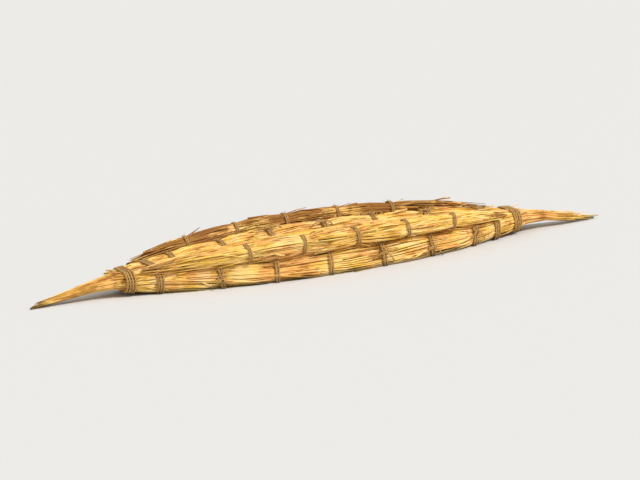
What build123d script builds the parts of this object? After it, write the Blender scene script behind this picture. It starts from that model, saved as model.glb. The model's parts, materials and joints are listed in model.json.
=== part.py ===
from build123d import *
import os

# A reed boat: two big tapered bundles of dry reeds lie side by side with a slim core bundle in the
# valley between them. A slim gunwale bundle lies on the outer shoulder of each big one. Grass rope
# binds every bundle, a wider lashing and a neck binding at each end hold the big ones together, and
# the loose reed ends run on past the necks as two low points.
# +X runs to the bow, +Y to the left side and +Z up. z = 0 is the flat that the boat rests on.

# Hull sizes, in millimetres
neck_to_neck = 2100.0       # length of the big bundles
tip_reach = 450.0           # how far the loose reed ends run on past a neck
main_radius = 145.0         # big bundle amidships
main_stand_off = 0.93       # a big bundle's axis off the centre plane, in its radii
keel_squash = 20.0          # what the boat's weight presses off the round underside
end_rise = 45.0             # climb of the big bundles' axes from amidships to a neck
centre_gap = 0.3            # between the two big bundles, which meet at the centre plane
clearance = 0.3             # between any two other seated pieces

# Core bundle
core_girth = 0.20           # its radius, in radii of a big bundle

# Gunwale bundles
gunwale_radius = 44.0       # amidships
gunwale_tilt = 40.0         # degrees outward from straight above a big bundle's axis

# Rope round the hull, and the thinner rope of the gunwale ties: thickness, and how far it beds in
rope = 12.0
rope_bite = 6.0
tie_rope = 9.0
tie_bite = 4.5

# Rope turns that lie side by side in each binding
hull_lashing_turns = 2
gunwale_tie_turns = 2
cross_lashing_turns = 3
neck_binding_turns = 4

# Places of the bindings
neck_end_margin = 14.0      # reed left between a neck binding and the end of the big bundles
cross_lashing_inset = 170.0  # from the end of the big bundles to the middle of a cross lashing
lashings_a_side = 6         # spread between the cross lashings, left and right in turn

# Sections of a big bundle from amidships to a neck:
# place along the half length, radius and climb, each as a share of its full value
main_sections = [
    (0.00, 1.00, 0.00),
    (0.33, 0.93, 0.10),
    (0.63, 0.70, 0.42),
    (0.85, 0.46, 0.78),
    (1.00, 0.30, 1.00),
]

# Sections of a gunwale bundle: place along the hull's half length, and radius as a share
gunwale_sections = [
    (0.00, 1.00),
    (0.33, 0.96),
    (0.63, 0.84),
    (0.80, 0.60),
]

# Sections of the loose reed ends past a neck, each an oval like the two necks together:
# place along the reach, half spread and radius as shares of the neck's, and drop in millimetres
tip_sections = [
    (0.00, 0.92, 0.92, 0.0),
    (0.28, 0.50, 0.66, 11.0),
    (1.00, 0.12, 0.20, 65.0),
]

neck_x = neck_to_neck / 2
axis_height = main_radius - keel_squash
rope_proud = rope - rope_bite
tie_proud = tie_rope - tie_bite
beyond = 2 * neck_to_neck   # reaches past the boat every way


def mirrored(half):
    """Rows of a half table on both sides of amidships, from stern to bow."""
    stern = [(-row[0], *row[1:]) for row in half[:0:-1]]
    return stern + half


def between(x, table):
    """Values of a table at x, in line between its rows, whose first column is x."""
    for low, high in zip(table, table[1:]):
        if x <= high[0] or high is table[-1]:
            share = (x - low[0]) / (high[0] - low[0])
            return [a + share * (b - a) for a, b in zip(low[1:], high[1:])]


def main_row(place, girth, climb):
    """Row of the left big bundle: x, axis to the left, axis height, radius."""
    radius = main_radius * girth
    return (neck_x * place, main_stand_off * radius, axis_height + end_rise * climb, radius)


def gunwale_row(place, girth):
    """Row of the left gunwale bundle, which leans on the shoulder of the big bundle."""
    x = neck_x * place
    side, height, radius = between(x, main_rows)
    own = gunwale_radius * girth
    lean = Vector(0, 1, 0).rotate(Axis.X, 90 - gunwale_tilt)
    offset = lean * (radius + own + clearance)
    return (x, side + offset.Y, height + offset.Z, own)


def core_row(x, side, height, radius):
    """Row of the core bundle, which lies in the valley of the two big ones."""
    own = core_girth * radius
    apart = radius + own + clearance
    return (x, 0.0, height + (apart**2 - side**2) ** 0.5, own)


main_rows = [main_row(*row) for row in mirrored(main_sections)]
gunwale_rows = [gunwale_row(*row) for row in mirrored(gunwale_sections)]
core_rows = [core_row(*row) for row in main_rows]


def rows_over(table, ends):
    """Rows of a table at both ends of a span, with those that lie inside it."""
    start, end = ends
    inner = [row for row in table if start < row[0] < end]
    return [(start, *between(start, table)), *inner, (end, *between(end, table))]


def across(x):
    """Plane across the hull at x, with its own x to the left and its own y up."""
    return Plane(origin=(x, 0, 0), x_dir=(0, 1, 0), z_dir=(1, 0, 0))


def round_loft(rows, grow=0.0):
    """Straight-sided loft through the round sections of the rows."""
    return loft([across(x) * Pos(y, z) * Circle(r + grow) for x, y, z, r in rows], ruled=True)


def oval(x, side, height, radius):
    """Oval section round two equal circles, one on each side of the centre plane."""
    return across(x) * Pos(0, height) * SlotCenterToCenter(2 * side, 2 * radius)


def oval_loft(rows, grow=0.0):
    """Straight-sided loft through the ovals round both big bundles."""
    return loft([oval(x, y, z, r + grow) for x, y, z, r in rows], ruled=True)


def space_from(side, height):
    """Space to the left of a plane at side and above a plane at height."""
    return Pos(0, side, height) * Box(
        beyond, beyond, beyond, align=(Align.CENTER, Align.MIN, Align.MIN)
    )


def slab(ends):
    """Slab across the whole boat from start to end."""
    start, end = ends
    return Pos((start + end) / 2, 0, 0) * Box(end - start, beyond, beyond)


def span(place, turns, thickness):
    """Start and end of a band of rope turns about its place."""
    half = turns * thickness / 2
    return (place - half, place + half)


def wider(ends):
    """The same span with the clearance at each end."""
    return (ends[0] - clearance, ends[1] + clearance)


def other_side(spans):
    """Spans of the right side, which are those of the left turned end for end."""
    return [(-end, -start) for start, end in reversed(spans)]


cross_x = neck_x - cross_lashing_inset
lashing_step = 2 * cross_x / (2 * lashings_a_side + 1)
left_lashing_places = [lashing_step * (2 * i + 1) - cross_x for i in range(lashings_a_side)]
left_tie_places = [place + lashing_step for place in left_lashing_places[:-1]]

left_lashing_spans = [span(x, hull_lashing_turns, rope) for x in left_lashing_places]
left_tie_spans = [span(x, gunwale_tie_turns, tie_rope) for x in left_tie_places]
right_lashing_spans = other_side(left_lashing_spans)
right_tie_spans = other_side(left_tie_spans)
cross_spans = [span(x, cross_lashing_turns, rope) for x in (-cross_x, cross_x)]
neck_band_x = neck_x - neck_end_margin - neck_binding_turns * rope / 2
neck_spans = [span(x, neck_binding_turns, rope) for x in (-neck_band_x, neck_band_x)]


def reeds_in_lashing(ends, slack=0.0):
    """Reeds of the left big bundle inside a lashing, flush at the flat and the centre plane."""
    squeezed = round_loft(rows_over(main_rows, ends), -rope_bite - slack)
    return squeezed & space_from(centre_gap / 2 + rope + slack, rope + slack)


def lashing_outside(ends, slack=0.0):
    """Round outside of a lashing of the left big bundle."""
    return round_loft(rows_over(main_rows, ends), rope_proud + slack)


def hull_lashing(ends):
    """Lashing round the left big bundle."""
    return (lashing_outside(ends) & space_from(centre_gap / 2, 0)) - reeds_in_lashing(ends)


def gunwale_tie(ends):
    """Tie round the left gunwale bundle."""
    rows = rows_over(gunwale_rows, ends)
    return round_loft(rows, tie_proud) - round_loft(rows, -tie_bite)


def cross_band(ends):
    """Band of rope round both big bundles and the core between them."""
    rows = rows_over(main_rows, ends)
    return oval_loft(rows, rope_proud) - oval_loft(rows, -rope_bite)


def bed_of_cross_bands(bundle):
    """A bundle with the beds of the bands that go round the whole hull."""
    for ends in cross_spans + neck_spans:
        grown = wider(ends)
        bundle -= slab(grown) - oval_loft(rows_over(main_rows, grown), -rope_bite - clearance)
    return bundle


def main_bundle(lashing_spans, tie_spans):
    """Left big bundle, with the beds of the ropes that press into it."""
    bundle = round_loft(main_rows) & space_from(centre_gap / 2, 0)
    for ends in lashing_spans:
        grown = wider(ends)
        bundle -= slab(grown) - reeds_in_lashing(grown, clearance)
    for ends in tie_spans:
        bundle -= round_loft(rows_over(gunwale_rows, wider(ends)), tie_proud + clearance)
    return bed_of_cross_bands(bundle)


def gunwale_bundle(lashing_spans, tie_spans):
    """Left gunwale bundle, with the beds of its ties and of the lashings under it."""
    bundle = round_loft(gunwale_rows)
    for ends in tie_spans:
        grown = wider(ends)
        bundle -= slab(grown) - round_loft(rows_over(gunwale_rows, grown), -tie_bite - clearance)
    for ends in lashing_spans:
        bundle -= lashing_outside(wider(ends), clearance)
    return bundle


def core_bundle():
    """Core bundle, with the beds of the ropes that it lies on and under."""
    bundle = round_loft(core_rows)
    for ends in left_lashing_spans:
        bundle -= lashing_outside(wider(ends), clearance)
    for ends in right_lashing_spans:
        bundle -= lashing_outside(wider(ends), clearance).mirror(Plane.XZ)
    return bed_of_cross_bands(bundle)


def tip_reeds(towards):
    """Loose reed ends past a neck, towards the bow (1) or the stern (-1)."""
    side, height, radius = between(neck_x, main_rows)
    sections = [
        oval(towards * (neck_x + tip_reach * place), side * spread, height - drop, radius * girth)
        for place, spread, girth, drop in tip_sections
    ]
    return loft(sections, ruled=True)


def write(name, shape):
    """Write one node."""
    export_step(shape, f"parts/{name}.step")


os.makedirs("parts", exist_ok=True)

write("left_main_bundle", main_bundle(left_lashing_spans, left_tie_spans))
write("right_main_bundle", main_bundle(right_lashing_spans, right_tie_spans).mirror(Plane.XZ))
write("core_bundle", core_bundle())
write("left_gunwale_bundle", gunwale_bundle(left_lashing_spans, left_tie_spans))
write("right_gunwale_bundle", gunwale_bundle(right_lashing_spans, right_tie_spans).mirror(Plane.XZ))

for number, ends in enumerate(left_lashing_spans, 1):
    write(f"left_hull_lashing_{number}", hull_lashing(ends))
for number, ends in enumerate(right_lashing_spans, 1):
    write(f"right_hull_lashing_{number}", hull_lashing(ends).mirror(Plane.XZ))
for number, ends in enumerate(left_tie_spans, 1):
    write(f"left_gunwale_tie_{number}", gunwale_tie(ends))
for number, ends in enumerate(right_tie_spans, 1):
    write(f"right_gunwale_tie_{number}", gunwale_tie(ends).mirror(Plane.XZ))
for end_name, ends in zip(("stern", "bow"), cross_spans):
    write(f"{end_name}_cross_lashing", cross_band(ends))
for end_name, ends in zip(("stern", "bow"), neck_spans):
    write(f"{end_name}_neck_binding", cross_band(ends))
for end_name, towards in (("stern", -1), ("bow", 1)):
    write(f"{end_name}_tip_reeds", tip_reeds(towards))
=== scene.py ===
"""The look of a reed boat: bundles of dry reeds, bound with grass rope, afloat at the waterline."""
import json
import logging
import math
from dataclasses import dataclass
from enum import Enum
from itertools import product
from typing import Any, Iterator, Sequence

import bmesh
import bpy
import numpy as np
from bpy.types import Material, Mesh, Object, World
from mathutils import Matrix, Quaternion, Vector
from numpy import ndarray
from numpy.random import Generator, default_rng


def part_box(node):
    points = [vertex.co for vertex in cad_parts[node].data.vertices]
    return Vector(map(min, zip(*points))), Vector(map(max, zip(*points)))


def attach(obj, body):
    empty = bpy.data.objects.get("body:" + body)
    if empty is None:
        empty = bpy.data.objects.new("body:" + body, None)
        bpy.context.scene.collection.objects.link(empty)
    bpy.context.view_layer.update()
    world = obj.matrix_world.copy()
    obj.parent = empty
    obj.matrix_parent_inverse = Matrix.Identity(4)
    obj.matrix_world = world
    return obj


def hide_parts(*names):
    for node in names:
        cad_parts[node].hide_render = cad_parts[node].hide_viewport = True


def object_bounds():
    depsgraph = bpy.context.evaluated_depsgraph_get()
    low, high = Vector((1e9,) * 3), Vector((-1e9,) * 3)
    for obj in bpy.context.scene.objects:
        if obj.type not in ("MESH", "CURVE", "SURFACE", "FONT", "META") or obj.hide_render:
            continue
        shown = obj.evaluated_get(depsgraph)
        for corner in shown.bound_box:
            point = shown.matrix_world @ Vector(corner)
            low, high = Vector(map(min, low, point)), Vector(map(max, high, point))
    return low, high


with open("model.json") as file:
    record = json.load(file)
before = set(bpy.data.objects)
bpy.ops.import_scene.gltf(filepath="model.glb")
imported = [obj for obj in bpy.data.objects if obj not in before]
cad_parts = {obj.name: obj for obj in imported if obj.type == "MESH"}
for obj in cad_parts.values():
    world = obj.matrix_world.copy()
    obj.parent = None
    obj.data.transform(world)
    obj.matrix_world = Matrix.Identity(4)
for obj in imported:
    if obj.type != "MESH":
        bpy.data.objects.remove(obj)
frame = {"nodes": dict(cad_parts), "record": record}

CAD_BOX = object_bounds()
LOG = logging.getLogger("reed_boat")
BODY = "root"
WATERLINE = next(m["pos_m"][2] for m in frame["record"]["mounts"] if m["name"] == "waterline")

REED_DATA = "reed"      # each reed's own draw, metres along it from its root, and how deep it lies, which the finish darkens as painted shade
TURN_DATA = "turn"      # cosine and sine of the turn round a reed
CUT_DATA = "cut"        # 1 on a reed's cut ends and 0 on its sides
BAKE_MAP = "OFBake"     # each reed's own cell of a square map
STRAND_DATA = "strand"  # metres along a strand, and the cosine and sine of the turn round it
TUBE_SIDES = 6          # sides of a strand's tube, as a curve's bevel resolution of 1 makes it
FIBRE_PITCH = 0.03      # metres of strand in which its fibres go once round

Colour = tuple[float, float, float]
Strand = tuple[ndarray, bool]   # rows of x, y, z and radius, and whether its line is closed


class Named(Enum):
    """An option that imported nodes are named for."""

    @property
    def word(self) -> str:
        """Its name as the nodes spell it."""
        return self.name.lower()


class Side(Named):
    """A side of the hull, by the sign of its Y."""

    LEFT = 1
    RIGHT = -1


class End(Named):
    """An end of the hull, by the sign of its X."""

    BOW = 1
    STERN = -1


def nodes_like(start: str) -> list[str]:
    """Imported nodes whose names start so, in order."""
    return sorted(node for node in frame["nodes"] if node.startswith(start))


def middle(node: str) -> float:
    """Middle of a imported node, by x."""
    low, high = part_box(node)
    return (low.x + high.x) / 2


# Shader expressions


@dataclass(frozen=True)
class Signal:
    """A value that varies over a surface; arithmetic on it adds Math nodes."""

    sheet: "NodeSheet"
    socket: bpy.types.NodeSocket

    def __add__(self, other: "Signal | float") -> "Signal":
        """Sum."""
        return self.sheet.maths("ADD", self, other)

    __radd__ = __add__

    def __mul__(self, other: "Signal | float") -> "Signal":
        """Product."""
        return self.sheet.maths("MULTIPLY", self, other)

    __rmul__ = __mul__

    def __sub__(self, other: "Signal | float") -> "Signal":
        """Difference."""
        return self.sheet.maths("SUBTRACT", self, other)

    def __rsub__(self, other: "Signal | float") -> "Signal":
        """Difference from a number."""
        return self.sheet.maths("SUBTRACT", other, self)

    def __pow__(self, other: "Signal | float") -> "Signal":
        """Power."""
        return self.sheet.maths("POWER", self, other)


class NodeSheet:
    """The nodes of a material or the world, with short ways to add to them."""

    def __init__(self, owner: Material | World) -> None:
        """Start with the shader that the owner comes with.

        Args:
            owner: a new material or world.
        """
        owner.use_nodes = True
        self.owner = owner
        self.tree = owner.node_tree
        self.shader = self.tree.nodes["Background" if isinstance(owner, World) else "Principled BSDF"]

    def add(self, kind: str, settings: dict[str, Any], inputs: dict[Any, Any], out: Any = 0) -> Signal:
        """Add a node.

        Args:
            kind: the node's type name after ShaderNode.
            settings: its properties.
            inputs: values or signals by socket name or number.
            out: name or number of the output to take.

        Returns:
            The output.
        """
        node = self.tree.nodes.new(f"ShaderNode{kind}")
        for key, value in settings.items():
            setattr(node, key, value)
        for key, value in inputs.items():
            self.feed(node.inputs[key], value)
        return Signal(self, node.outputs[out])

    def feed(self, socket: bpy.types.NodeSocket, value: Any) -> None:
        """Set a socket to a number or colour, or link a signal to it.

        Args:
            socket: the socket.
            value: the number, colour or signal.
        """
        if isinstance(value, Signal):
            self.tree.links.new(value.socket, socket)
        else:
            socket.default_value = (*value, 1.0) if isinstance(value, tuple) else value

    def maths(self, operation: str, first: Any, second: Any) -> Signal:
        """Result of one Math node."""
        return self.add("Math", {"operation": operation}, {0: first, 1: second})

    def step(self, value: Signal, low: float, high: float) -> Signal:
        """Smooth step of a value from 0 at low to 1 at high."""
        inputs = {"Value": value, "From Min": low, "From Max": high}
        return self.add("MapRange", {"interpolation_type": "SMOOTHSTEP"}, inputs)

    def mix(self, share: Any, first: Any, second: Any) -> Signal:
        """Two colours mixed, where share is how much of the second shows."""
        return self.add("Mix", {"data_type": "RGBA"}, {0: share, 6: first, 7: second}, 2)

    def ramp(self, value: Signal, stops: Sequence[tuple[float, Colour]]) -> Signal:
        """Look up the colour of a value.

        Args:
            value: the value.
            stops: (place, colour) pairs, lowest first.

        Returns:
            The colour.
        """
        colour = self.add("ValToRGB", {}, {0: value})
        elements = colour.socket.node.color_ramp.elements
        while len(elements) < len(stops):
            elements.new(1.0)
        for element, (place, tint) in zip(elements, stops):
            element.position = place
            element.color = (*tint, 1.0)
        return colour

    def split(self, vector: Signal) -> list[Signal]:
        """The three parts of a vector."""
        first = self.add("SeparateXYZ", {}, {0: vector})
        return [Signal(self, part) for part in first.socket.node.outputs]

    def join(self, x: Any, y: Any, z: Any) -> Signal:
        """A vector of three numbers."""
        return self.add("CombineXYZ", {}, {0: x, 1: y, 2: z})

    def noise(self, vector: Signal, detail: float, roughness: float = 0.5, scale: float = 1.0) -> Signal:
        """Noise of about 0 to 1 at a vector, with so many finer layers of such a strength."""
        inputs = {"Vector": vector, "Scale": scale, "Detail": detail, "Roughness": roughness}
        return self.add("TexNoise", {}, inputs)

    def attribute(self, name: str) -> list[Signal]:
        """The three parts of a vector attribute of the mesh."""
        return self.split(self.add("Attribute", {"attribute_name": name}, {}, "Vector"))

    def object_place(self) -> Signal:
        """The surface point in the boat's own frame."""
        return self.add("TexCoord", {}, {}, "Object")

    def bump(self, height: Signal, strength: float, distance: float) -> Signal:
        """The surface's Normal where a height raises it."""
        return self.add("Bump", {}, {"Height": height, "Strength": strength, "Distance": distance})

    def finish(self, **inputs: Any) -> Material:
        """Feed the shader.

        Args:
            inputs: values or signals by socket name, with underscores for spaces.

        Returns:
            The owner, finished.
        """
        for key, value in inputs.items():
            self.feed(self.shader.inputs[key.replace("_", " ")], value)
        return self.owner


def srgb(*levels: int) -> Colour:
    """A colour as it looks on screen, 0 to 255, as the linear colour that shaders take."""
    shares = [level / 255 for level in levels]
    return tuple(s / 12.92 if s <= 0.04045 else ((s + 0.055) / 1.055) ** 2.4 for s in shares)


# Finishes


@dataclass(frozen=True)
class ReedFinish:
    """Dry reeds, each its own straw tint, with patches over them all, painted shade on those that lie
    deep, and wet at the waterline, where the darkening is also painted shade.
    """

    name: str
    tints: tuple[Colour, ...] = (
        srgb(142, 92, 20), srgb(196, 142, 44), srgb(230, 180, 68),
        srgb(244, 200, 92), srgb(250, 214, 116), srgb(250, 220, 158),
    )
    root_tint: Colour = srgb(216, 142, 60)
    rosy_tint: Colour = srgb(238, 172, 96)
    bleached_tint: Colour = srgb(252, 220, 150)
    patch_tint: Colour = srgb(170, 108, 34)
    # dark specks on the reeds, and painted shade on reeds that lie deep in a bundle
    gap_tint: Colour = srgb(96, 58, 10)
    # wet reeds at the waterline, darker than wet alone as painted shade along the water
    wet_tint: Colour = srgb(70, 54, 20)
    pith_tint: Colour = srgb(236, 206, 150)
    patch_share: float = 0.3
    dry_roughness: float = 0.68
    wet_roughness: float = 0.30
    ribs: float = 3.4  # how fine the streaks are round a reed
    streaks_along: float = 9.0  # and along it, for each metre
    specks_along: float = 90.0
    root_reach: tuple[float, float] = (0.02, 0.22)  # metres over which the root's tint fades
    wet_height: float = 0.020
    ragged: float = 0.03  # how far the wet edge rises and falls
    bump_distance: float = 0.0011

    def _tone(self, sheet: NodeSheet, draw: Signal, along: Signal, fibre: Signal) -> Signal:
        """Tint the dry reed.

        Args:
            sheet: the material's nodes.
            draw: the reed's own draw.
            along: metres from its root.
            fibre: noise of its fibres.

        Returns:
            The colour.
        """
        blotch = sheet.noise(sheet.join(draw * 37.0, along * 4.3, draw * 11.0), 3.0)
        mottled = draw * 0.66 + blotch * 0.55 + fibre * 0.34 - 0.18
        stops = [(i / (len(self.tints) - 1), c) for i, c in enumerate(self.tints)]
        root = (1 - sheet.step(along, *self.root_reach)) * 0.5
        colour = sheet.mix(root, sheet.ramp(mottled, stops), self.root_tint)
        x, y, z = sheet.split(sheet.object_place())
        flush = sheet.noise(sheet.join(x * 5.0, y * 14.0 + 3.0, z * 14.0 + draw), 3.0, 0.6)
        colour = sheet.mix(sheet.step(flush, 0.49, 0.56) * 0.75, colour, self.rosy_tint)
        weather = sheet.noise(sheet.join(x * 7.0, y * 18.0, z * 18.0 + draw * 1.2), 3.0, 0.6)
        bleach = (1 - sheet.step(weather, 0.40, 0.48)) * (0.9 * (1 - self.patch_share))
        colour = sheet.mix(bleach, colour, self.bleached_tint)
        low = 0.68 - self.patch_share * 0.5
        return sheet.mix(sheet.step(weather, low, low + 0.12) * 0.8, colour, self.patch_tint)

    def make(self) -> Material:
        """Build the finish.

        Returns:
            The material.
        """
        sheet = NodeSheet(bpy.data.materials.new(self.name))
        draw, along, depth = sheet.attribute(REED_DATA)
        cosine, sine, _ = sheet.attribute(TURN_DATA)
        round_it = cosine * self.ribs + draw * 57.0, sine * self.ribs + draw * 31.0
        fibre = sheet.noise(sheet.join(along * self.streaks_along, *round_it), 4.0, 0.62)
        colour = self._tone(sheet, draw, along, fibre)
        colour = sheet.mix(sheet.step(fibre, 0.58, 0.74) * 0.3, colour, self.tints[0])
        round_it = cosine * 1.5 + draw * 9.0, sine * 1.5
        specks = sheet.noise(sheet.join(along * self.specks_along, *round_it), 2.0)
        colour = sheet.mix(sheet.step(specks, 0.68, 0.74) * 0.55, colour, self.gap_tint)
        # painted shade: reeds that lie deeper in the bundle are darkened
        colour = sheet.mix(depth * 0.6, colour, self.gap_tint)
        pores = sheet.noise(sheet.join(cosine * 4.0, sine * 4.0, 0.0), 2.0)
        pith = sheet.mix(pores * 0.6, self.pith_tint, self.tints[1])
        rim = sheet.step((cosine * cosine + sine * sine) ** 0.5, 0.62, 0.9)
        cut_end = sheet.mix(rim, pith, self.root_tint)
        colour = sheet.mix(sheet.attribute(CUT_DATA)[0], colour, cut_end)
        place = sheet.object_place()
        height = sheet.split(place)[2] - sheet.noise(place, 3.0, scale=11.0) * self.ragged
        low = WATERLINE - 0.008
        # wet band at the waterline: real wetness, glossier, and darkened also as painted shade along the
        # water
        wet = 1 - sheet.step(height, low, low + self.wet_height)
        roughness = self.dry_roughness - wet * (self.dry_roughness - self.wet_roughness)
        return sheet.finish(
            Base_Color=sheet.mix(wet * 0.78, colour, self.wet_tint),
            Roughness=roughness + fibre * 0.2 - 0.1,
            Specular_IOR_Level=0.3,
            Normal=sheet.bump(fibre + specks * 0.3, 0.75, self.bump_distance),
        )


@dataclass(frozen=True)
class PackedFinish:
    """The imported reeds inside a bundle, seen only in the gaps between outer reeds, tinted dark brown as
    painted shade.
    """

    name: str
    # dark browns: painted shade on the reeds deep inside
    light: Colour = srgb(122, 82, 36)
    dark: Colour = srgb(52, 32, 12)

    def make(self) -> Material:
        """Build the finish.

        Returns:
            The material.
        """
        sheet = NodeSheet(bpy.data.materials.new(self.name))
        x, y, z = sheet.split(sheet.object_place())
        grain = sheet.noise(sheet.join(x * 4.0, y * 90.0, z * 90.0), 3.0)
        colour = sheet.mix(grain, self.dark, self.light)
        return sheet.finish(Base_Color=colour, Roughness=0.85, Normal=sheet.bump(grain, 0.6, 0.003))


@dataclass(frozen=True)
class RopeFinish:
    """Hand-twisted dry grass rope: fibres along each strand, in pale and brown tones at random."""

    name: str
    pale: Colour = srgb(226, 190, 120)
    middle: Colour = srgb(170, 124, 62)
    dark: Colour = srgb(88, 54, 20)
    # wet rope at the waterline, darker also as painted shade along the water
    wet_tint: Colour = srgb(70, 50, 26)

    def make(self) -> Material:
        """Build the finish.

        Returns:
            The material.
        """
        sheet = NodeSheet(bpy.data.materials.new(self.name))
        along, cosine, sine = sheet.attribute(STRAND_DATA)
        fibre = sheet.noise(sheet.join(along * 22.0, cosine * 3.4, sine * 3.4), 4.0, 0.65)
        patch = sheet.noise(sheet.join(along * 9.0, 0.0, 0.0), 2.0)
        tone = fibre * 1.35 + patch * 0.45 - 0.32
        colour = sheet.ramp(tone, [(0.15, self.dark), (0.5, self.middle), (0.85, self.pale)])
        height = sheet.split(sheet.object_place())[2]
        # wet band at the waterline: real wetness, glossier, and darkened also as painted shade along the
        # water
        wet = 1 - sheet.step(height, WATERLINE + 0.004, WATERLINE + 0.03)
        return sheet.finish(
            Base_Color=sheet.mix(wet * 0.75, colour, self.wet_tint),
            Roughness=0.82 - wet * 0.4,
            Normal=sheet.bump(fibre, 0.7, 0.0015),
        )


# Meshes and pieces


def note(mesh: Mesh, name: str, vectors: ndarray) -> None:
    """Give each corner of a mesh a vector under a name."""
    layer = mesh.attributes.new(name, "FLOAT_VECTOR", "POINT")
    layer.data.foreach_set("vector", vectors.astype(np.float32).ravel())


def shape(name: str, bm: bmesh.types.BMesh) -> Mesh:
    """Turn a bmesh into a mesh.

    Args:
        name: the mesh's name.
        bm: the finished bmesh, which is freed.

    Returns:
        The mesh.
    """
    mesh = bpy.data.meshes.new(name)
    bm.to_mesh(mesh)
    bm.free()
    return mesh


def put(name: str, data: Any) -> Object:
    """Put a new object at the origin.

    Args:
        name: its name.
        data: its mesh, curve, light or camera.

    Returns:
        The object.
    """
    made = bpy.data.objects.new(name, data)
    bpy.context.scene.collection.objects.link(made)
    return made


def take_shape(source: Object, name: str) -> Mesh:
    """Swap an object for the mesh that its modifiers or curve make.

    Args:
        source: the object, which is removed.
        name: the mesh's name.

    Returns:
        The mesh.
    """
    evaluated = source.evaluated_get(bpy.context.evaluated_depsgraph_get())
    mesh = bpy.data.meshes.new_from_object(evaluated)
    bpy.data.objects.remove(source)
    mesh.name = name
    return mesh


def add_piece(mesh: Mesh, material: Material, slot: str, node: str) -> None:
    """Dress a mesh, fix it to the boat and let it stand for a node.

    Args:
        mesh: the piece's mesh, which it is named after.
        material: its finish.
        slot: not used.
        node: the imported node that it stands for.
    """
    mesh.materials.append(material)
    piece = put(mesh.name, mesh)
    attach(piece, BODY)
    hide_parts(node)
    LOG.info("%s: %d faces", piece.name, len(mesh.polygons))


def smooth(share: ndarray) -> ndarray:
    """Smooth step of a share that is kept between 0 and 1."""
    share = np.clip(share, 0, 1)
    return share * share * (3 - 2 * share)


def near(x: Any, place: float, reach: float) -> Any:
    """How near x is to a place: 1 there, and nearly 0 at twice the reach."""
    return np.exp(-(((x - place) / reach) ** 2))


def spread_rank(number: int) -> float:
    """The number's binary digits mirrored at the point, which spreads even the first few over 0 to 1."""
    return int(f"{number:b}"[::-1], 2) / 2 ** number.bit_length()


# Reeds


@dataclass(frozen=True)
class Course:
    """Where a bundle's axis runs along the hull, and its radius there."""

    x: ndarray
    y: ndarray
    z: ndarray
    radius: ndarray

    @classmethod
    def through(cls, rows: Sequence[Sequence[float]], ease: float, step: float = 0.01) -> "Course":
        """Ease the corners of a line.

        Args:
            rows: its rows of x, y, z and radius, in order of x.
            ease: length over which a corner is rounded.
            step: length between the course's points.

        Returns:
            The course.
        """
        table = np.array(rows, float)
        x = np.arange(table[0, 0] - 3 * ease, table[-1, 0] + 3 * ease + step, step)
        run_on = 4  # how often its first and last span are added again in line, to reach past x
        before, after = table[0] - table[1], table[-1] - table[-2]
        table = np.vstack([table[0] + run_on * before, table, table[-1] + run_on * after])
        window = np.hanning(int(ease / step) * 2 + 1)
        window /= window.sum()
        lines = [np.interp(x, table[:, 0], values) for values in table[:, 1:].T]
        keep = slice(len(window), -len(window))
        return cls(x[keep], *[np.convolve(line, window, "same")[keep] for line in lines])

    def at(self, x: Any) -> tuple[Any, Any, Any]:
        """Axis y, axis z and radius at each x."""
        return tuple(np.interp(x, self.x, v) for v in (self.y, self.z, self.radius))


@dataclass
class Paths:
    """The lines that many reeds follow, one row a reed and one column a ring of the stalk."""

    centre: ndarray  # with x, y and z for each ring
    turn: ndarray  # angle of each ring's outward side
    radius: ndarray
    flatness: ndarray  # height as a share of the width, one column
    draw: ndarray  # 0 to 1, one column
    along: ndarray  # metres from the root
    depth: ndarray  # 0 on the surface to 1 deep inside, which the finish darkens as painted shade
    mirror: tuple[int, int, int]  # which of x, y and z change sign


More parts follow.
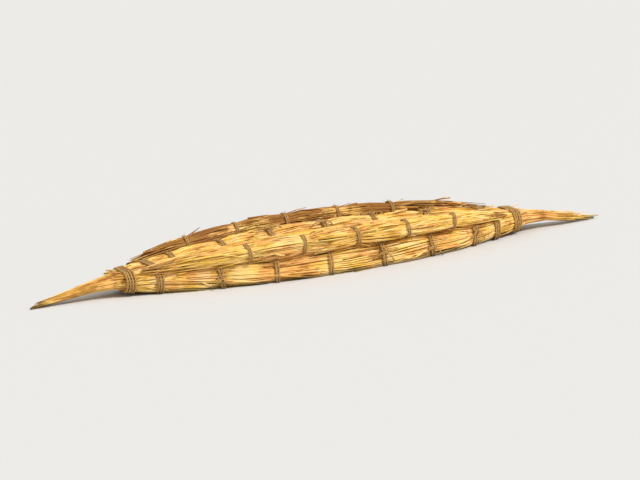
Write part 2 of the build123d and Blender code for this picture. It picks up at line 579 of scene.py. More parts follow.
@dataclass
class Stalk:
    """The one reed that every bundle repeats: a six-sided tube in rings, along Z."""

    sides: int = 6
    spans: int = 8
    cap_share: float = 0.07  # height of a cap as a share of a reed's cell of the map
    cell_height: float = 3.5  # height of a cell as a multiple of its width
    margin: float = 0.04  # left free round a reed in its cell

    def __post_init__(self) -> None:
        """Build the reed and keep its corners and its map."""
        self.mesh = self._one_reed()
        places = np.array([vert.co for vert in self.mesh.vertices])
        self.ring = np.rint((places[:, 2] + 0.5) * self.spans).astype(int)
        self.turn = places * (1, 1, 0)
        cell = self.mesh.uv_layers[BAKE_MAP].uv
        self.cell = np.array([corner.vector for corner in cell], np.float32)
        self.shares = np.linspace(0, 1, self.spans + 1)

    def _one_reed(self) -> Mesh:
        """Build the reed.

        Returns:
            Its mesh, with a map of its sides and caps.
        """
        bm = bmesh.new()
        bmesh.ops.create_cone(
            bm, cap_ends=True, segments=self.sides, radius1=1.0, radius2=1.0, depth=1.0
        )
        lengthwise = [e for e in bm.edges if abs(e.verts[0].co.z - e.verts[1].co.z) > 0.5]
        bmesh.ops.subdivide_edges(bm, edges=lengthwise, cuts=self.spans - 1, use_grid_fill=True)
        uv = bm.loops.layers.uv.new(BAKE_MAP)
        cut = bm.faces.layers.float_vector.new(CUT_DATA)
        for face in bm.faces:
            face.smooth = len(face.verts) == 4
            face[cut] = (0.0 if face.smooth else 1.0, 0.0, 0.0)
            centre = face.calc_center_median()
            facing = math.atan2(centre.y, centre.x)
            for loop in face.loops:
                co = loop.vert.co
                if face.smooth:
                    turn = (math.atan2(co.y, co.x) - facing + math.pi) % math.tau - math.pi
                    u = (facing + math.pi + turn) / math.tau
                    v = self.cap_share + (co.z + 0.5) * (1 - 2 * self.cap_share)
                else:
                    u = 0.5 + co.x * 0.4
                    v = (0.5 + co.y * 0.4) * self.cap_share * 0.9
                    v = v if centre.z < 0 else 1 - v
                loop[uv].uv = (u % 1.0001, v)
        return shape("stalk", bm)

    def lay(self, name: str, paths: Paths) -> Mesh:
        """Lay copies of the reed along paths, each with its own cell of the square map.

        Args:
            name: the mesh's name.
            paths: the lines that they follow.

        Returns:
            One mesh of them all.
        """
        count = len(paths.draw)
        seed = put("seed", self.mesh)
        array = seed.modifiers.new("array", "ARRAY")
        array.count = count
        array.use_relative_offset = False
        mesh = take_shape(seed, name)
        ring, mirror = self.ring, np.array(paths.mirror)
        cosine, sine = np.cos(paths.turn), np.sin(paths.turn)
        outward = np.stack([0 * sine, cosine, sine], -1) * mirror
        across = np.stack([0 * sine, sine, -cosine], -1) * mirror * mirror.prod()
        wide = self.turn[:, :1] * across[:, ring]
        high = self.turn[:, 1:2] * outward[:, ring] * paths.flatness[..., None]
        place = (paths.centre * mirror)[:, ring] + paths.radius[:, ring, None] * (wide + high)
        mesh.vertices.foreach_set("co", place.astype(np.float32).ravel())
        own = np.broadcast_to(paths.draw, paths.along.shape)
        note(mesh, REED_DATA, np.stack([own, paths.along, paths.depth], -1)[:, ring])
        note(mesh, TURN_DATA, np.tile(self.turn, (count, 1)))
        mesh.update()
        columns = math.ceil(math.sqrt(count * self.cell_height))
        row, column = np.divmod(np.arange(count), columns)
        corner = np.stack([column, row], -1)[:, None] + self.margin
        uv = (corner + (1 - 2 * self.margin) * self.cell) / (columns, math.ceil(count / columns))
        mesh.uv_layers[BAKE_MAP].uv.foreach_set("vector", uv.astype(np.float32).ravel())
        return mesh


@dataclass(frozen=True)
class Thatch:
    """How the reeds of a bundle are laid: end to end in lanes, in layers, with loose ones across them."""

    length: tuple[float, float]  # shortest and longest reed
    girth: tuple[float, float]  # radius at the root, thinnest and thickest
    crossers: int  # loose reeds that lie across the lanes
    arc: float = math.pi  # how far round from the outer side they are laid
    layers: int = 2
    layer_depth: float = 0.0062
    lane_fill: float = 0.80  # a lane's width as a share of a root's
    tip_girth: float = 0.42  # radius at the tip as a share of the root's
    flatness: tuple[float, float] = (0.66, 0.98)
    overlap: float = 0.07  # how far a reed may lie over the next in its lane
    overrun: float = 0.03  # how far reeds may run past the bundle's ends
    shortfall: float = 0.0  # how far they may stop short of them
    waver: float = 0.009  # how far the lanes wander together
    lump: float = 0.0035  # how far the hanks stand proud of each other
    hanks: int = 7
    slant: float = 0.010  # how far a laid reed strays across its own length
    crowding: float = 1.12  # how many times its fair share of lanes a narrowing bundle still shows
    dive_span: float = 0.08
    stray_share: float = 0.10  # reeds with an end that stands off
    stray_height: float = 0.014
    stray_from: float = 0.68  # share of its length from which it does
    tuck: float = 0.0035  # how deep the other ends are pushed in
    tuck_share: float = 0.14  # and over what share of their length
    least_packing: float = 0.5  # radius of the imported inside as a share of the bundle's


@dataclass(frozen=True)
class Bundle:
    """A bundle of reeds round a course, drawn in under its ropes."""

    node: str
    course: Course
    thatch: Thatch
    ropes: tuple[float, ...]  # where ropes draw it in all round, by x
    bands: tuple[float, ...]  # where ropes draw in the side that faces out, by x
    draw_in: float  # how deep a rope beds in
    side: Side = Side.LEFT
    pressed: bool = False  # whether it is flat below and at the centre plane
    swell: float = 0.002  # how far it swells between ropes
    grip: float = 0.045  # how far from a rope it is still drawn in
    hold: float = 0.05  # and how far from one no reed stands off

    @property
    def ends(self) -> tuple[float, float]:
        """Its two ends, by x."""
        low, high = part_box(self.node)
        return low.x, high.x

    def waist(self, x: Any, turn: Any) -> Any:
        """Draw the bundle in under its ropes.

        Args:
            x: places along the hull.
            turn: angles round the bundle, 0 outward.

        Returns:
            How far the surface lies inside the course's radius.
        """
        facing_out = smooth(1 + 1.2 * np.cos(turn))
        drawn = [near(x, place, self.grip) for place in self.ropes]
        drawn += [near(x, place, self.grip) * facing_out for place in self.bands]
        return (self.draw_in + self.swell) * np.max(drawn, axis=0) - self.swell

    def _at_ropes(self, x: ndarray) -> ndarray:
        """Move rings so that one lies under each rope that a reed passes.

        Args:
            x: the rings' even places, one row a reed.

        Returns:
            Their new places.
        """
        rows = np.arange(len(x))
        for place in self.ropes + self.bands:
            nearest = np.abs(x - place).argmin(1)
            inner = (nearest > 0) & (nearest < x.shape[1] - 1)
            x[rows[inner], nearest[inner]] = place
        return x

    def _laid(self, rng: Generator) -> Iterator[tuple[float, ...]]:
        """Lay reeds end to end in lanes, then loose ones on them.

        Args:
            rng: the bundle's own random draws.

        Yields:
            Each reed's turn round the bundle, start, end, inset, rank and slant. Lanes dive in the
            order of their rank as the bundle narrows.
        """
        t = self.thatch
        low, high = self.ends
        lanes = round(2 * t.arc * self.course.radius.max() / (sum(t.girth) * t.lane_fill))
        for layer, lane in product(range(t.layers), range(lanes)):
            x = low - rng.uniform(0, t.length[0])
            while x < high - t.overlap:
                reach = rng.uniform(*t.length)
                start = max(x, low - rng.uniform(-t.shortfall, t.overrun))
                end = min(x + reach, high + rng.uniform(-t.shortfall, t.overrun))
                x += reach - rng.uniform(0, t.overlap)
                if end - start >= 2 * t.overlap:
                    place = (lane + 0.5 * layer + rng.uniform(-0.2, 0.2)) / lanes
                    inset = layer * t.layer_depth + rng.uniform(-0.0008, 0.0014)
                    slant = rng.normal(0, t.slant)
                    yield 2 * t.arc * place - t.arc, start, end, inset, spread_rank(lane), slant
        for _ in range(t.crossers):
            reach = rng.uniform(0.12, t.length[0] * 1.2)
            start = rng.uniform(low, high - reach)
            slant = rng.normal(0, 3.5 * t.slant)
            yield rng.uniform(-t.arc, t.arc), start, start + reach, -0.0012, 0.0, slant

    def paths(self, shares: ndarray, rng: Generator) -> Paths:
        """Lay the reeds.

        Args:
            shares: places of the stalk's rings along a reed.
            rng: the bundle's own random draws.

        Returns:
            The lines that the reeds follow.
        """
        t = self.thatch
        turn, start, end, inset, rank, slant = np.array([*self._laid(rng)]).T[..., None]
        size = turn.shape
        x = self._at_ropes(start + (end - start) * shares)
        y, z, r = self.course.at(x)
        waves = rng.uniform(0, math.tau, 4)
        first, second = rng.integers(2, 5, 2)
        wander = np.sin(5.1 * x + first * turn + waves[0])
        wander += 0.6 * np.sin(11.3 * x - second * turn + waves[1])
        astray = slant * (shares - 0.5) + t.waver * 0.6 * wander
        turn = turn + astray / np.maximum(r, 0.02)
        hank = np.cos(t.hanks * turn + 1.6 * np.sin(2.9 * x + waves[2]) + waves[3])
        full = r / self.course.radius.max()
        dive = smooth((rank - t.crowding * full) / t.dive_span)
        depth = inset + dive * t.layers * t.layer_depth
        stray = (inset < 0.002) & (rng.random(size) < t.stray_share)
        stand = np.where(stray, t.stray_height * rng.uniform(0.25, 1.0, size), 0.0)
        toward = np.where(rng.random(size) < 0.5, 1 - shares, shares)
        free = np.prod([1 - near(x, place, self.hold) for place in self.ropes + self.bands], axis=0)
        lift = stand * smooth((toward - t.stray_from) / (1 - t.stray_from)) * (1 - dive) * free
        at_ends = smooth((shares - 1) / t.tuck_share + 1) + smooth(1 - shares / t.tuck_share)
        lift = lift - t.tuck * at_ends * ~stray
        root = rng.uniform(*t.girth, size)
        from_root = np.where(rng.random(size) < 0.5, 1 - shares, shares)
        radius = root * (1 + (t.tip_girth - 1) * from_root**1.3)
        flatness = rng.uniform(*t.flatness, size)
        waist = self.waist(x, turn)
        out = r - waist - depth - radius * flatness + t.lump * full * (hank - 0.5) + lift
        out = np.maximum(out, 0.3 * r)
        place_y, place_z = y + out * np.cos(turn), z + out * np.sin(turn)
        if self.pressed:
            place_y = np.maximum(place_y, radius)
            place_z = np.maximum(place_z, waist + self.swell + depth + radius * 0.8)
        return Paths(
            np.stack([x, place_y, place_z], -1),
            turn,
            radius,
            flatness,
            rng.random(size),
            from_root * (end - start) + rng.uniform(0, 0.25, size),
            # how deep each reed lies, 0 to 1, which the finish darkens as painted shade
            np.clip(depth / (t.layers * t.layer_depth), 0, 1) ** 1.2,
            (1, self.side.value, 1),
        )

    def packing(self) -> Mesh:
        """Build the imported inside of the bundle.

        Returns:
            A ridged closed body just under the outer reeds.
        """
        t = self.thatch
        low, high = self.ends
        short = 0.002 + t.shortfall
        under = t.layers * t.layer_depth + 1.5 * t.lump
        ridges = round(math.tau * self.course.radius.max() / (2.2 * t.girth[1]))
        bm = bmesh.new()
        loops = []
        for x in np.linspace(low + short, high - short, 61):
            y, z, r = self.course.at(x)
            inner = max(r - self.waist(x, 0.0) - under, t.least_packing * r)
            loops.append(bmesh.ops.create_circle(bm, segments=2 * ridges, radius=inner)["verts"])
            for number, vert in enumerate(loops[-1]):
                crest = 1 + (number % 2) * t.girth[0] / inner
                place_y, place_z = y + vert.co.x * crest, z + vert.co.y * crest
                if self.pressed:
                    place_y, place_z = max(place_y, 0.003), max(place_z, 0.009)
                vert.co = (x, place_y * self.side.value, place_z)
        edges = list(bm.edges)
        rims = [[e for e in edges if e.verts[0] in rim] for rim in (set(loops[0]), set(loops[-1]))]
        bmesh.ops.bridge_loops(bm, edges=edges)
        for rim in rims:
            bmesh.ops.contextual_create(bm, geom=rim)
        bmesh.ops.recalc_face_normals(bm, faces=bm.faces)
        for face in bm.faces:
            face.smooth = True
        return shape(f"{self.node}_packing", bm)


@dataclass(frozen=True)
class HullForm:
    """The hull's shape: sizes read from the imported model, and sections as shares of them."""

    half_length: float
    radius: float
    axis_height: float
    end_rise: float
    gunwale_radius: float
    tip_reach: float
    stand_off: float = 0.93
    core_girth: float = 0.20
    gunwale_tilt: float = math.radians(40)
    gunwale_press: float = 0.009  # how far its reeds press in among the main bundle's
    tip_root_girth: float = 0.92
    ease: float = 0.18
    main_sections: tuple[tuple[float, float, float], ...] = (
        (0.00, 1.00, 0.00),
        (0.33, 0.93, 0.10),
        (0.63, 0.70, 0.42),
        (0.85, 0.46, 0.78),
        (1.00, 0.30, 1.00),
    )
    gunwale_sections: tuple[tuple[float, float], ...] = (
        (0.00, 1.00),
        (0.33, 0.96),
        (0.63, 0.84),
        (0.80, 0.60),
    )

    @classmethod
    def from_frame(cls) -> "HullForm":
        """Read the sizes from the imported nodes' boxes.

        Returns:
            The form.
        """
        nodes = ("left_main_bundle", "bow_tip_reeds", "left_gunwale_bundle")
        main, tips, gunwale = (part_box(node)[1] for node in nodes)
        radius = main.y / (1 + cls.stand_off)
        axis_height = main.z - radius
        upward = math.cos(cls.gunwale_tilt)
        return cls(
            half_length=main.x,
            radius=radius,
            axis_height=axis_height,
            end_rise=tips.z - cls.tip_root_girth * (radius * cls.main_sections[-1][1]) - axis_height,
            gunwale_radius=(gunwale.z - (radius * upward + axis_height)) / (1 + upward),
            tip_reach=tips.x - main.x,
        )

    @staticmethod
    def _mirrored(half: Sequence[Sequence[float]]) -> list[tuple[float, ...]]:
        """Rows of a half table on both sides of amidships."""
        return [(-row[0], *row[1:]) for row in half[:0:-1]] + list(half)

    def main_rows(self) -> list[tuple[float, float, float, float]]:
        """Work out the left main bundle's sections.

        Returns:
            Rows of x, y, z and radius.
        """
        rows = []
        for place, girth, climb in self._mirrored(self.main_sections):
            radius = self.radius * girth
            height = self.axis_height + self.end_rise * climb
            rows.append((self.half_length * place, self.stand_off * radius, height, radius))
        return rows

    def main_course(self) -> Course:
        """Course of the left main bundle."""
        return Course.through(self.main_rows(), self.ease)

    def core_course(self) -> Course:
        """Lay the core bundle in the valley of the main ones.

        Returns:
            Its course.
        """
        rows = []
        for x, side, height, radius in self.main_rows():
            own = self.core_girth * radius
            rows.append((x, 0.0, height + math.sqrt((radius + own) ** 2 - side**2), own))
        return Course.through(rows, self.ease)

    def gunwale_course(self) -> Course:
        """Lay the left gunwale bundle on the shoulder of the main one.

        Returns:
            Its course.
        """
        table = np.array(self.main_rows()).T
        rows = []
        for place, girth in self._mirrored(self.gunwale_sections):
            x = place * self.half_length
            side, height, radius = (np.interp(x, table[0], values) for values in table[1:])
            own = self.gunwale_radius * girth
            reach = radius + own - self.gunwale_press
            y = side + reach * math.sin(self.gunwale_tilt)
            rows.append((x, y, height + reach * math.cos(self.gunwale_tilt), own))
        return Course.through(rows, self.ease)


@dataclass(frozen=True)
class ReedHull:
    """The five bundles that are the hull."""

    form: HullForm
    stalk: Stalk
    reeds: Material
    brown_reeds: Material
    packed: Material
    slot: str = "hull_reeds"
    main_thatch: Thatch = Thatch(
        (0.50, 1.10), (0.0038, 0.0060), 170, arc=2.74, layers=3, overrun=0.045, lump=0.0050,
        stray_share=0.15, stray_height=0.017,
    )
    core_thatch: Thatch = Thatch(
        (0.4, 0.9), (0.0034, 0.0052), 24, overrun=0.02, waver=0.004, lump=0.0015, hanks=3
    )
    gunwale_thatch: Thatch = Thatch(
        (0.35, 0.85), (0.0032, 0.0052), 90, overrun=0.12, shortfall=0.10, waver=0.007, lump=0.004,
        hanks=4, stray_share=0.26, stray_height=0.022,
    )
    rope_bed: float = 0.007
    tie_bed: float = 0.005
    core_bed: float = 0.004

    def bundles(self) -> Iterator[tuple[Bundle, Material]]:
        """Set up the bundles.

        Yields:
            Each bundle with its outer finish.
        """
        main, gunwale = self.form.main_course(), self.form.gunwale_course()
        kinds = ("cross_lashing", "neck_binding")
        bands = tuple(middle(f"{end.word}_{kind}") for end in End for kind in kinds)
        for side in Side:
            lashings, ties = (
                tuple(map(middle, nodes_like(f"{side.word}_{kind}")))
                for kind in ("hull_lashing", "gunwale_tie")
            )
            node = f"{side.word}_main_bundle"
            yield Bundle(
                node, main, self.main_thatch, lashings, bands, self.rope_bed, side, pressed=True
            ), self.reeds
            node = f"{side.word}_gunwale_bundle"
            # the left gunwale takes the browner finish, with more and darker brown patches than the rest
            finish = self.brown_reeds if side is Side.LEFT else self.reeds
            yield Bundle(node, gunwale, self.gunwale_thatch, ties, (), self.tie_bed, side), finish
        core = self.form.core_course()
        yield Bundle("core_bundle", core, self.core_thatch, bands, (), self.core_bed), self.reeds

    def build(self) -> None:
        """Make every bundle, its outer reeds and its packed inside."""
        for number, (bundle, finish) in enumerate(self.bundles()):
            paths = bundle.paths(self.stalk.shares, default_rng(100 + number))
            outer = self.stalk.lay(f"{bundle.node}_reeds", paths)
            add_piece(outer, finish, self.slot, bundle.node)
            add_piece(bundle.packing(), self.packed, self.slot, bundle.node)


@dataclass(frozen=True)
class PointedEnd:
    """The loose reed ends past a neck, drawn together into a low point."""

    end: End
    form: HullForm
    stalk: Stalk
    material: Material
    slot: str = "reed_ends"
    count: int = 210
    girth: tuple[float, float] = (0.0036, 0.0060)
    flatness: tuple[float, float] = (0.7, 1.0)
    inside_neck: float = 0.075
    least_reach: float = 0.22
    splay: float = 0.006
    free_from: float = 0.35  # share of a reed's way past the neck from which it splays
    sections: tuple[tuple[float, float, float, float], ...] = (
        (-0.20, 0.92, 0.88, 0.000),
        (0.00, 0.92, 0.92, 0.000),
        (0.28, 0.50, 0.66, 0.011),
        (1.00, 0.12, 0.20, 0.065),
    )

    def paths(self, rng: Generator) -> Paths:
        """Strew the reed ends.

        Args:
            rng: the end's own random draws.

        Returns:
            The lines that they follow.
        """
        shares, form, size = self.stalk.shares, self.form, (self.count, 1)
        _, side, height, radius = form.main_rows()[-1]
        spread = rng.uniform(-1, 1, (self.count * 4, 2))
        spread = spread[(spread**2).sum(1) < 1][: self.count]
        beside, above = spread[:, :1], spread[:, 1:]
        off = beside**2 + above**2
        reach = self.least_reach + (1 - self.least_reach) * rng.random(size) ** 1.25
        reach *= 1 - 0.25 * off * rng.random(size)
        past = form.tip_reach * reach
        run = -self.inside_neck + (past + self.inside_neck) * shares
        table = np.array(self.sections).T
        half_side, girth, drop = (np.interp(run / form.tip_reach, table[0], v) for v in table[1:])
        splay = rng.normal(0, 1, (self.count, 2)) * self.splay * reach
        free = smooth((run / past - self.free_from) / (1 - self.free_from))
        thin = rng.uniform(*self.girth, size) * (1 - 0.62 * smooth(shares))
        y = beside * (half_side * side + girth * radius - thin) + splay[:, :1] * free
        z = height - drop + above * (girth * radius - thin) + splay[:, 1:] * free
        return Paths(
            np.stack([form.half_length + run, y, z], -1),
            np.arctan2(above, beside) + 0 * run,
            thin,
            rng.uniform(*self.flatness, size),
            rng.random(size),
            0.3 + run,
            # reeds near the middle of the end lie deep until they splay free; the finish darkens them as
            # painted shade
            np.clip(1 - np.sqrt(off), 0, 1) * (1 - free) * 0.8,
            (self.end.value, 1, 1),
        )

    def build(self) -> None:
        """Make the reed ends."""
        node = f"{self.end.word}_tip_reeds"
        outer = self.stalk.lay(f"{node}_reeds", self.paths(default_rng(300 + self.end.value)))
        add_piece(outer, self.material, self.slot, node)


# Rope


@dataclass(frozen=True)
class Rope:
    """Two-strand rope, laid by hand."""

    thickness: float
    pitch: float
    step: float
    strands: int = 2

    def _even(self, line: ndarray, closed: bool) -> ndarray:
        """Space the points of a line evenly.

        Args:
            line: its points.
            closed: whether it returns to its start.

        Returns:
            The even points, without the first again at the end.
        """
        whole = np.vstack([line, line[:1]]) if closed else line
        run = np.concatenate([[0], np.cumsum(np.linalg.norm(np.diff(whole, axis=0), axis=1))])
        count = max(int(run[-1] / self.step), 4)
        at = np.linspace(0, run[-1], count + 1)
        even = np.stack([np.interp(at, run, whole[:, i]) for i in range(3)], -1)
        return even[:-1] if closed else even

    @staticmethod
    def _frames(line: ndarray, closed: bool) -> tuple[ndarray, ndarray]:
        """Carry two directions along a line with no twist of their own.

        Args:
            line: its even points.
            closed: whether it returns to its start.

        Returns:
            The two directions across it at each point.
        """
        if closed:
            tangent = np.roll(line, -1, 0) - np.roll(line, 1, 0)
        else:
            tangent = np.gradient(line, axis=0)
        tangent /= np.linalg.norm(tangent, axis=1)[:, None] + 1e-12
        start = np.cross(tangent[0], [0.31, 0.52, 0.79])
        first = [start / np.linalg.norm(start)]
        for t in tangent[1:]:
            carried = first[-1] - np.dot(first[-1], t) * t
            first.append(carried / np.linalg.norm(carried))
        first = np.array(first)
        second = np.cross(tangent, first)
        if closed:
            back = first[-1] - np.dot(first[-1], tangent[0]) * tangent[0]
            gap = math.atan2(np.dot(back, second[0]), np.dot(back, first[0]))
            turn = -gap * np.arange(len(line))[:, None] / len(line)
            cos, sin = np.cos(turn), np.sin(turn)
            first, second = first * cos + second * sin, second * cos - first * sin
        return first, second

    def lay(self, line: ndarray, closed: bool, rng: Generator) -> list[Strand]:
        """Twist the strands along a line.

        Args:
            line: the rope's middle.
            closed: whether it returns to its start.
            rng: draws for an uneven hand.

        Returns:
            The strands.
        """
        even = self._even(line, closed)
        first, second = self._frames(even, closed)
        share = np.arange(len(even))[:, None] / len(even)
        turns = max(round(len(even) * self.step / self.pitch), 1)
        out = []
        for number in range(self.strands):
            turn = math.tau * (turns * share + number / self.strands) + rng.uniform(0, 0.3)
            uneven = 1 + 0.10 * np.sin(math.tau * share * rng.integers(5, 11) + rng.uniform(0, 6))
            place = even + self.thickness * 0.24 * (np.cos(turn) * first + np.sin(turn) * second)
            out.append((np.hstack([place, self.thickness * 0.27 * uneven]), closed))
        return out


def tubes(name: str, strands: Sequence[Strand], rng: Generator) -> Mesh:
    """Make strands as one mesh of tubes.

    Args:
        name: the mesh's name.
        strands: the strands.
        rng: draws for each strand's own shade.

    Returns:
        The mesh.
    """
    curve = bpy.data.curves.new(name, "CURVE")
    curve.dimensions = "3D"
    curve.bevel_depth = 1.0
    curve.bevel_resolution = 1
    around = np.arange(TUBE_SIDES) * math.tau / TUBE_SIDES
    data = []
    for rows, closed in strands:
        spline = curve.splines.new("POLY")
        spline.points.add(len(rows) - 1)
        spline.points.foreach_set("co", np.column_stack([rows[:, :3], np.ones(len(rows))]).ravel())
        spline.points.foreach_set("radius", rows[:, 3])
        spline.use_cyclic_u = closed
        spline.use_smooth = True
        step = np.linalg.norm(np.diff(rows[:, :3], axis=0), axis=1)
        run = np.concatenate([[0], np.cumsum(step)])[:, None] + rng.uniform(0, 9)
        angle = around - run * math.tau / FIBRE_PITCH
        data.append(np.stack([run + 0 * angle, np.cos(angle), np.sin(angle)], -1).reshape(-1, 3))
    mesh = take_shape(put(name, curve), name)
    bpy.data.curves.remove(curve)
    note(mesh, STRAND_DATA, np.concatenate(data))
    bm = bmesh.new()
    bm.from_mesh(mesh)
    bmesh.ops.holes_fill(bm, edges=[e for e in bm.edges if e.is_boundary], sides=TUBE_SIDES)
    bm.to_mesh(mesh)
    bm.free()
    return mesh


def hairs(lines: Sequence[ndarray], count: int, rng: Generator) -> list[Strand]:
    """Let short fibres stand off the rope.

    Args:
        lines: the closed lines of its turns.
        count: how many fibres each turn has.
        rng: draws for their places and lengths.

    Returns:
        The fibres.
    """
    out = []
    share = np.linspace(0, 1, 5)[:, None]
    for line in lines:
        centre = line.mean(0)
        for at in rng.integers(0, len(line), count):
            foot = line[at]
            if foot[2] < WATERLINE:
                continue
            outward = (foot - centre) * (0, 1, 1)
            outward /= np.linalg.norm(outward)
            aim = line[(at + 1) % len(line)] - line[at - 1]
            aim *= rng.choice([-1, 1]) / np.linalg.norm(aim)
            aim += rng.normal(0, 0.5) * np.array([1.0, 0, 0]) + outward * rng.uniform(0.2, 0.8)
            length = rng.uniform(0.012, 0.03)
            place = foot + aim * share * length - outward * share**2 * length * rng.uniform(0, 0.5)
            out.append((np.hstack([place, 0.0007 * (1 - 0.6 * share)]), False))
    return out


@dataclass(frozen=True)
class Binding:
    """Turns of rope side by side round one bundle, as a gunwale tie has them."""

    node: str
    course: Course
    turns: int = 2
    side: Side = Side.LEFT
    pitch: float = 0.026
    step: float = 0.004
    start: float = -math.pi  # angle from which a turn goes round
    lag: float = 0.6  # angle at which a slanting turn is at its own place
    hairs_a_turn: int = 16
    centre_gap: float = 0.0004

    @property
    def thickness(self) -> float:
        """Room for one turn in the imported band."""
        low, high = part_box(self.node)
        return (high.x - low.x) / self.turns

    @property
    def places(self) -> list[float]:
        """Middle of each turn, by x."""
        return [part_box(self.node)[0].x + self.thickness * (i + 0.5) for i in range(self.turns)]

    def circuit(self, x: float, slant: float) -> tuple[ndarray, ...]:
        """Go once round the course.

        Args:
            x: the turn's place along the hull.
            slant: how far it leans along the hull.

        Returns:
            For each point its x, the axis's y and z there, and how far out it lies in y and z.
        """
        angle = np.linspace(self.start, self.start + math.tau, 121)[:-1]
        along = x + slant * np.sin(angle - self.lag)
        y, z, r = self.course.at(along)
        return along, y, z, r * np.cos(angle), r * np.sin(angle)

    def round_one(self, slant: float, low: float) -> list[ndarray]:
        """Lay the turns round one bundle.

        Args:
            slant: how far they lean along the hull.
            low: lowest that their middle comes, and about the nearest to the centre plane.

        Returns:
            The line of each turn.
        """
        out = []
        for x in self.places:
            along, y, z, out_y, out_z = self.circuit(x, slant)
            y = np.maximum(y + out_y, low + self.centre_gap) * self.side.value
            out.append(np.column_stack([along, y, np.maximum(z + out_z, low)]))
        return out

    def lines(self, rng: Generator) -> list[ndarray]:
        """The line of each turn, which nothing presses flat."""
        return self.round_one(rng.uniform(-0.006, 0.006), -1.0)

    def knots(self, rng: Generator) -> list[Strand]:
        """The strands of its knots, of which this kind has none."""
        return []

    def build(self, material: Material, slot: str) -> None:
        """Make it.

        Args:
            material: its finish.
            slot: passed on to add_piece.
        """
        rng = default_rng(sum(map(ord, self.node)))
        rope = Rope(self.thickness * 0.97, self.pitch, self.step)
        lines = self.lines(rng)
        strands = [strand for line in lines for strand in rope.lay(line, True, rng)]
        strands += hairs(lines, self.hairs_a_turn, rng)
        strands += self.knots(rng)
        add_piece(tubes(f"{self.node}_rope", strands, rng), material, slot, self.node)


@dataclass(frozen=True)
class HullBand(Binding):
    """Rope round both main bundles."""

    pitch: float = 0.034
    step: float = 0.005
    start: float = 0.0
    lag: float = 0.0

    def lines(self, rng: Generator) -> list[ndarray]:
        """Lay the turns.

        Args:
            rng: the binding's own random draws.

        Returns:
            The line of each turn.
        """
        out = []
        for x in self.places:
            along, y, z, out_y, out_z = self.circuit(x, rng.uniform(-0.002, 0.002))
            out.append(np.column_stack([along, np.where(out_y >= 0, y, -y) + out_y, z + out_z]))
        return out


@dataclass(frozen=True)
class HullLashing(Binding):
    """Rope round one main bundle, pressed flat below and at the centre plane, and knotted."""

    pitch: float = 0.034
    step: float = 0.005
    knot_size: float = 0.019
    tail: tuple[float, float] = (0.045, 0.085)

    def lines(self, rng: Generator) -> list[ndarray]:
        """The line of each turn."""
        slant = rng.uniform(0.004, 0.012) * rng.choice([-1, 1])
        return self.round_one(slant, self.thickness / 2)

    def knots(self, rng: Generator) -> list[Strand]:
        """Tie a small tight three-lobed knot with two short tails.

        Args:
            rng: the binding's own random draws.

        Returns:
            Its strands.
        """
        angle = rng.choice([rng.uniform(0.05, 0.4), rng.uniform(1.5, 1.9)])
        x = sum(self.places) / self.turns
        y, z, r = self.course.at(x)
        outward = np.array([0.0, math.cos(angle) * self.side.value, math.sin(angle)])
        foot = np.array([x, y * self.side.value, z]) + outward * (r + self.thickness * 0.25)
        rope = Rope(self.thickness * 0.62, 0.022, 0.003)
        along = np.array([1.0, 0.0, 0.0])
        spin = rng.uniform(0, math.tau)
        first = math.cos(spin) * along + math.sin(spin) * np.cross(outward, along)
        a = np.linspace(0, math.tau, 60, endpoint=False)
        lobes = [np.sin(a) + 2 * np.sin(2 * a), np.cos(a) - 2 * np.cos(2 * a), -0.9 * np.sin(3 * a)]
        lump = np.stack(lobes, -1) * self.knot_size / 3 @ [first, np.cross(outward, first), outward]
        strands = rope.lay(lump + foot + outward * rope.thickness * 0.35, True, rng)
        share = np.linspace(0, 1, 12)[:, None]
        for lean in (-1, 1):
            length = rng.uniform(*self.tail)
            aim = along * lean * rng.uniform(0.35, 1.0)
            aim = aim + np.array([0, 0, -1.0]) * rng.uniform(0.3, 0.9)
            aim -= np.dot(aim, outward) * outward
            aim /= np.linalg.norm(aim)
            curl = np.cross(outward, aim) * rng.uniform(-0.25, 0.25)
            bow = outward * (0.008 * np.sin(share * math.pi) - 0.02 * share**2)
            line = foot + outward * 0.006 + aim * share * length + curl * share**2 * length + bow
            strands += rope.lay(line, False, rng)
        return strands


@dataclass(frozen=True)
class Ropework:
    """Every rope of the boat."""

    form: HullForm
    material: Material
    slot: str = "grass_rope"
    cross_turns: int = 3
    neck_turns: int = 4

    def bindings(self) -> Iterator[Binding]:
        """Set up the bindings.

        Yields:
            Each binding.
        """
        main, gunwale = self.form.main_course(), self.form.gunwale_course()
        for side in Side:
            for node in nodes_like(f"{side.word}_hull_lashing"):
                yield HullLashing(node, main, side=side)
            for node in nodes_like(f"{side.word}_gunwale_tie"):
                yield Binding(node, gunwale, side=side)
        for end in End:
            yield HullBand(f"{end.word}_cross_lashing", main, self.cross_turns)
            yield HullBand(f"{end.word}_neck_binding", main, self.neck_turns)

    def build(self) -> None:
        """Make every binding."""
        for binding in self.bindings():
            binding.build(self.material, self.slot)


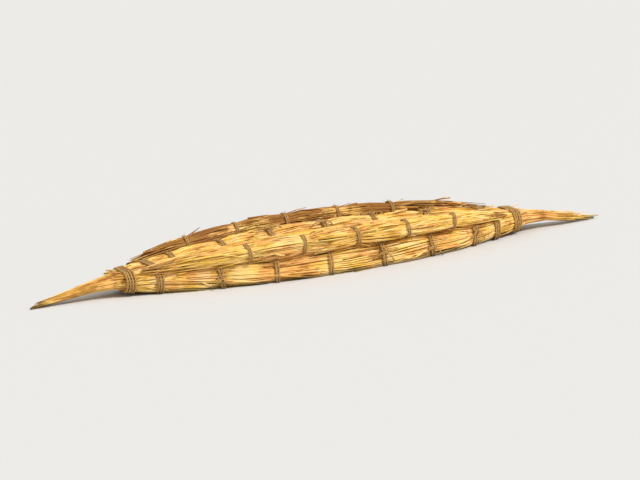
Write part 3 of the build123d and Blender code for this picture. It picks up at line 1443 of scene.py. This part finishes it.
@dataclass(frozen=True)
class Studio:
    """A plain pale floor at the waterline, soft lamps and the photograph's viewing angle."""

    floor_size: float = 90.0
    floor_tint: Colour = (0.70, 0.69, 0.67)
    backdrop_tint: Colour = (0.80, 0.80, 0.80)
    sky_strength: float = 0.46
    elevation: float = 12.6
    azimuth: float = -25.0
    distance: float = 20.5
    frame_share: float = 0.90
    lean: float = 3.2  # degrees: the boat lies at the left edge of a wide view, which leans it so
    # A lamp's name, degrees anticlockwise from the camera and above the horizon, softness, strength
    lamps: tuple[tuple[str, float, float, float, float], ...] = (
        ("key", 58, 46, 14, 2.8),
        ("fill", -50, 40, 60, 0.55),
    )

    def floor(self) -> None:
        """Lay the floor."""
        bm = bmesh.new()
        bmesh.ops.create_grid(bm, x_segments=1, y_segments=1, size=self.floor_size / 2)
        bmesh.ops.translate(bm, verts=bm.verts, vec=(0, 0, WATERLINE))
        floor = put("floor", shape("floor", bm))
        sheet = NodeSheet(bpy.data.materials.new("pale_floor"))
        sheet.finish(Base_Color=self.floor_tint, Roughness=0.9, Specular_IOR_Level=0.1)
        floor.data.materials.append(sheet.owner)

    @staticmethod
    def direction(azimuth: float, elevation: float) -> Vector:
        """Unit vector from the boat towards an azimuth and elevation in degrees."""
        a, e = math.radians(azimuth), math.radians(elevation)
        return Vector((math.sin(a) * math.cos(e), -math.cos(a) * math.cos(e), math.sin(e)))

    def light(self) -> None:
        """Light the boat softly, most from the right as in the photograph."""
        for name, azimuth, elevation, softness, strength in self.lamps:
            light = bpy.data.lights.new(name, "SUN")
            light.angle = math.radians(softness)
            light.energy = strength
            away = self.direction(self.azimuth + azimuth, elevation)
            put(name, light).rotation_euler = away.to_track_quat("Z", "Y").to_euler()
        sheet = NodeSheet(bpy.data.worlds.new("world"))
        sheet.finish(Color=(1.0, 1.0, 1.0), Strength=self.sky_strength)
        lit = Signal(sheet, sheet.shader.outputs[0])
        to_camera = sheet.add("LightPath", {}, {}, "Is Camera Ray")
        shown = sheet.add("Background", {}, {"Color": self.backdrop_tint})
        seen = sheet.add("MixShader", {}, {0: to_camera, 1: lit, 2: shown})
        sheet.feed(sheet.tree.nodes["World Output"].inputs["Surface"], seen)
        bpy.context.scene.world = sheet.owner

    def camera(self) -> None:
        """Place the camera so that the boat fills the frame's width."""
        low, high = CAD_BOX
        aim = (low + high) / 2
        aim.z = (WATERLINE + high.z) / 2
        data = bpy.data.cameras.new("camera")
        camera = put("camera", data)
        back = self.direction(self.azimuth, self.elevation)
        camera.location = aim + back * self.distance
        level = back.to_track_quat("Z", "Y")
        camera.rotation_euler = (level @ Quaternion((0, 0, 1), -math.radians(self.lean))).to_euler()
        seen = (high.x - low.x) * math.cos(math.radians(self.azimuth)) / self.frame_share
        data.sensor_width = 36.0
        data.lens = data.sensor_width * self.distance / seen
        data.clip_end = 200.0
        bpy.context.scene.camera = camera

    def build(self) -> None:
        """Make the stage."""
        self.floor()
        self.light()
        self.camera()
        bpy.context.scene.view_settings.view_transform = "Standard"


def main() -> None:
    """Build the boat, its stage, its lights and its camera."""
    logging.basicConfig(level=logging.INFO, format="%(message)s")
    form = HullForm.from_frame()
    stalk = Stalk()
    reeds = ReedFinish("dry_reeds").make()
    # a browner copy of the reed finish, with more and darker patches, for the left gunwale
    brown = ReedFinish("weathered_reeds", patch_tint=srgb(136, 80, 26), patch_share=0.62).make()
    packed = PackedFinish("packed_reeds").make()
    rope = RopeFinish("grass_rope").make()
    ReedHull(form, stalk, reeds, brown, packed).build()
    for end in End:
        PointedEnd(end, form, stalk, reeds).build()
    Ropework(form, rope).build()
    Studio().build()
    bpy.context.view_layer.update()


if __name__ == "__main__":
    main()
